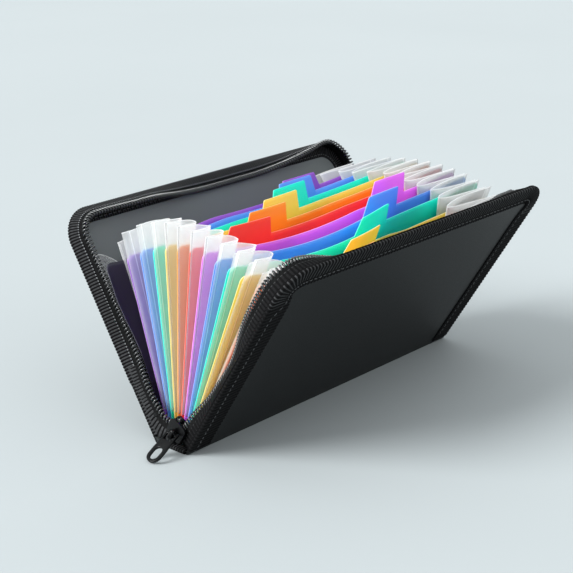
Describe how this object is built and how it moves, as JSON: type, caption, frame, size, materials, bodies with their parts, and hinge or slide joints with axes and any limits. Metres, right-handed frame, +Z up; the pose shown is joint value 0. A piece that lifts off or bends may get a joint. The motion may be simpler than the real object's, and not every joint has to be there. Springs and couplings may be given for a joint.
{
  "type": "accordion file folder",
  "caption": "Zip-around expanding file standing open on its spine, with tabbed coloured dividers fanned between hinged covers and clear film gussets at both ends.",
  "frame": {"origin": "middle of the spine's underside, on the surface that the file stands on", "axes": "+X along the spine away from the parked zipper slider, +Y to the back cover, +Z up"},
  "size_m": [0.2034, 0.1341, 0.0984],
  "materials": {
    "cover_plastic": "fine matte grain",
    "floor_plastic": "matte",
    "binding_ribbon": "ribbed ribbon with a stitch line",
    "zipper_tape": "woven tape",
    "zipper_teeth": "nylon coil",
    "zipper_metal": "black enamel",
    "sheet_black": "matte",
    "gusset_film": "frosted clear film",
    "sheet_purple": "satin translucent sheet",
    "sheet_blue": "satin translucent sheet",
    "sheet_green": "satin translucent sheet",
    "sheet_yellow": "satin translucent sheet",
    "sheet_orange": "satin translucent sheet",
    "sheet_red": "satin translucent sheet",
    "sheet_magenta": "satin translucent sheet"
  },
  "bodies": {
    "spine": {"spine_panel": "cover_plastic", "pocket_floor": "floor_plastic"},
    "front_cover": {"front_cover": "cover_plastic", "front_binding": "binding_ribbon", "front_zipper_tape": "zipper_tape", "front_zipper_teeth": "zipper_teeth", "front_zipper_stops": "zipper_metal", "left_gusset_14": "gusset_film", "right_gusset_14": "gusset_film"},
    "back_cover": {"back_cover": "cover_plastic", "back_binding": "binding_ribbon", "back_zipper_tape": "zipper_tape", "back_zipper_teeth": "zipper_teeth", "back_zipper_stops": "zipper_metal"},
    "back_end_sheet": {"back_end_sheet": "sheet_black", "left_gusset_01": "gusset_film", "right_gusset_01": "gusset_film"},
    "divider_01": {"divider_01": "sheet_purple", "left_gusset_02": "gusset_film", "right_gusset_02": "gusset_film"},
    "divider_02": {"divider_02": "sheet_blue", "left_gusset_03": "gusset_film", "right_gusset_03": "gusset_film"},
    "divider_03": {"divider_03": "sheet_green", "left_gusset_04": "gusset_film", "right_gusset_04": "gusset_film"},
    "divider_04": {"divider_04": "sheet_yellow", "left_gusset_05": "gusset_film", "right_gusset_05": "gusset_film"},
    "divider_05": {"divider_05": "sheet_orange", "left_gusset_06": "gusset_film", "right_gusset_06": "gusset_film"},
    "divider_06": {"divider_06": "sheet_red", "left_gusset_07": "gusset_film", "right_gusset_07": "gusset_film"},
    "divider_07": {"divider_07": "sheet_magenta", "left_gusset_08": "gusset_film", "right_gusset_08": "gusset_film"},
    "divider_08": {"divider_08": "sheet_blue", "left_gusset_09": "gusset_film", "right_gusset_09": "gusset_film"},
    "divider_09": {"divider_09": "sheet_green", "left_gusset_10": "gusset_film", "right_gusset_10": "gusset_film"},
    "divider_10": {"divider_10": "sheet_yellow", "left_gusset_11": "gusset_film", "right_gusset_11": "gusset_film"},
    "divider_11": {"divider_11": "sheet_orange", "left_gusset_12": "gusset_film", "right_gusset_12": "gusset_film"},
    "divider_12": {"divider_12": "sheet_red", "left_gusset_13": "gusset_film", "right_gusset_13": "gusset_film"},
    "zipper_slider": {"zipper_slider": "zipper_metal", "slider_bridge": "zipper_metal"},
    "zipper_pull": {"zipper_pull": "zipper_metal"}
  },
  "joints": [
    {"name": "front_cover_fold", "type": "hinge", "parent": "spine", "child": "front_cover", "pos_m": [0, -0.0092, 0.0006], "axis": [-1, 0, 0], "range_deg": [0, 31.6], "deforming": ["left_gusset_07", "right_gusset_07", "left_gusset_08", "right_gusset_08", "left_gusset_09", "right_gusset_09", "left_gusset_10", "right_gusset_10", "left_gusset_11", "right_gusset_11", "left_gusset_12", "right_gusset_12", "left_gusset_13", "right_gusset_13", "left_gusset_14", "right_gusset_14"]},
    {"name": "back_cover_fold", "type": "hinge", "parent": "spine", "child": "back_cover", "pos_m": [0, 0.0092, 0.0006], "axis": [1, 0, 0], "range_deg": [0, 32], "deforming": ["left_gusset_01", "right_gusset_01", "left_gusset_02", "right_gusset_02", "left_gusset_03", "right_gusset_03", "left_gusset_04", "right_gusset_04", "left_gusset_05", "right_gusset_05", "left_gusset_06", "right_gusset_06"]},
    {"name": "back_end_sheet_fold", "type": "hinge", "parent": "spine", "child": "back_end_sheet", "pos_m": [0, 0.0072, 0.0024], "axis": [1, 0, 0], "range_deg": [0, 23.65]},
    {"name": "divider_01_fold", "type": "hinge", "parent": "spine", "child": "divider_01", "pos_m": [0, 0.006, 0.0024], "axis": [1, 0, 0], "range_deg": [0, 17.36]},
    {"name": "divider_02_fold", "type": "hinge", "parent": "spine", "child": "divider_02", "pos_m": [0, 0.0048, 0.0024], "axis": [1, 0, 0], "range_deg": [0, 11.72]},
    {"name": "divider_03_fold", "type": "hinge", "parent": "spine", "child": "divider_03", "pos_m": [0, 0.0036, 0.0024], "axis": [1, 0, 0], "range_deg": [0, 6.76]},
    {"name": "divider_04_fold", "type": "hinge", "parent": "spine", "child": "divider_04", "pos_m": [0, 0.0024, 0.0024], "axis": [1, 0, 0], "range_deg": [0, 2.45]},
    {"name": "divider_05_fold", "type": "hinge", "parent": "spine", "child": "divider_05", "pos_m": [0, 0.0012, 0.0024], "axis": [-1, 0, 0], "range_deg": [0, 1.62]},
    {"name": "divider_06_fold", "type": "hinge", "parent": "spine", "child": "divider_06", "pos_m": [0, 0, 0.0024], "axis": [-1, 0, 0], "range_deg": [0, 5.6]},
    {"name": "divider_07_fold", "type": "hinge", "parent": "spine", "child": "divider_07", "pos_m": [0, -0.0012, 0.0024], "axis": [-1, 0, 0], "range_deg": [0, 9.57]},
    {"name": "divider_08_fold", "type": "hinge", "parent": "spine", "child": "divider_08", "pos_m": [0, -0.0024, 0.0024], "axis": [-1, 0, 0], "range_deg": [0, 13.55]},
    {"name": "divider_09_fold", "type": "hinge", "parent": "spine", "child": "divider_09", "pos_m": [0, -0.0036, 0.0024], "axis": [-1, 0, 0], "range_deg": [0, 17.52]},
    {"name": "divider_10_fold", "type": "hinge", "parent": "spine", "child": "divider_10", "pos_m": [0, -0.0048, 0.0024], "axis": [-1, 0, 0], "range_deg": [0, 21.5]},
    {"name": "divider_11_fold", "type": "hinge", "parent": "spine", "child": "divider_11", "pos_m": [0, -0.006, 0.0024], "axis": [-1, 0, 0], "range_deg": [0, 25.48]},
    {"name": "divider_12_fold", "type": "hinge", "parent": "spine", "child": "divider_12", "pos_m": [0, -0.0072, 0.0024], "axis": [-1, 0, 0], "range_deg": [0, 29.45]},
    {"name": "slider_travel", "type": "slide", "parent": "front_cover", "child": "zipper_slider", "axis": [0, -0.524, 0.8517], "range_m": [0, 0.0831]},
    {"name": "pull_swing", "type": "hinge", "parent": "zipper_slider", "child": "zipper_pull", "pos_m": [-0.0957, -0.00357, 0.009], "axis": [0, 1, 0], "range_deg": [0, 95]}
  ],
  "couplings": [
    {"joint": "back_end_sheet_fold", "follows": "back_cover_fold", "ratio": 0.7375},
    {"joint": "divider_01_fold", "follows": "back_cover_fold", "ratio": 0.54082},
    {"joint": "divider_02_fold", "follows": "back_cover_fold", "ratio": 0.36484},
    {"joint": "divider_03_fold", "follows": "back_cover_fold", "ratio": 0.20957},
    {"joint": "divider_04_fold", "follows": "back_cover_fold", "ratio": 0.075},
    {"joint": "divider_05_fold", "follows": "front_cover_fold", "ratio": 0.049842},
    {"joint": "divider_06_fold", "follows": "front_cover_fold", "ratio": 0.17563},
    {"joint": "divider_07_fold", "follows": "front_cover_fold", "ratio": 0.30142},
    {"joint": "divider_08_fold", "follows": "front_cover_fold", "ratio": 0.42722},
    {"joint": "divider_09_fold", "follows": "front_cover_fold", "ratio": 0.55301},
    {"joint": "divider_10_fold", "follows": "front_cover_fold", "ratio": 0.6788},
    {"joint": "divider_11_fold", "follows": "front_cover_fold", "ratio": 0.80459},
    {"joint": "divider_12_fold", "follows": "front_cover_fold", "ratio": 0.93038}
  ]
}
